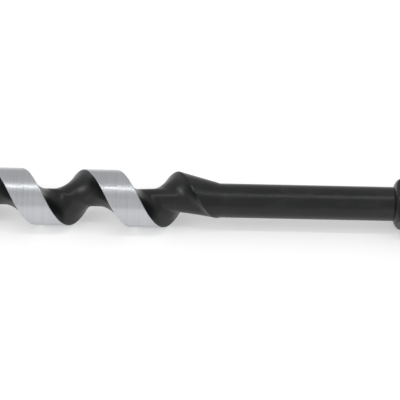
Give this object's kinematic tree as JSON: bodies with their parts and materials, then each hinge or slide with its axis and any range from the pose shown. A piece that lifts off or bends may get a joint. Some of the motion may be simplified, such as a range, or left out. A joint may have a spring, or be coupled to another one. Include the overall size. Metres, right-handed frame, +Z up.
{
  "type": "auger drill bit",
  "caption": "Long right-hand auger bit for boring wood, with a feed screw, cutting lip and spur at its tip and a hexagonal shank.",
  "frame": {"origin": "on the ground under the middle of the tool, which lies on its spiral's lands", "axes": "+X along the tool's axis, from the feed screw's point to the shank; +Z up"},
  "size_m": [0.23, 0.008, 0.008],
  "materials": {
    "blackened_steel": "black oxide, with the lands ground bright"
  },
  "bodies": {
    "root": {"auger_bit": "blackened_steel"}
  },
  "joints": []
}
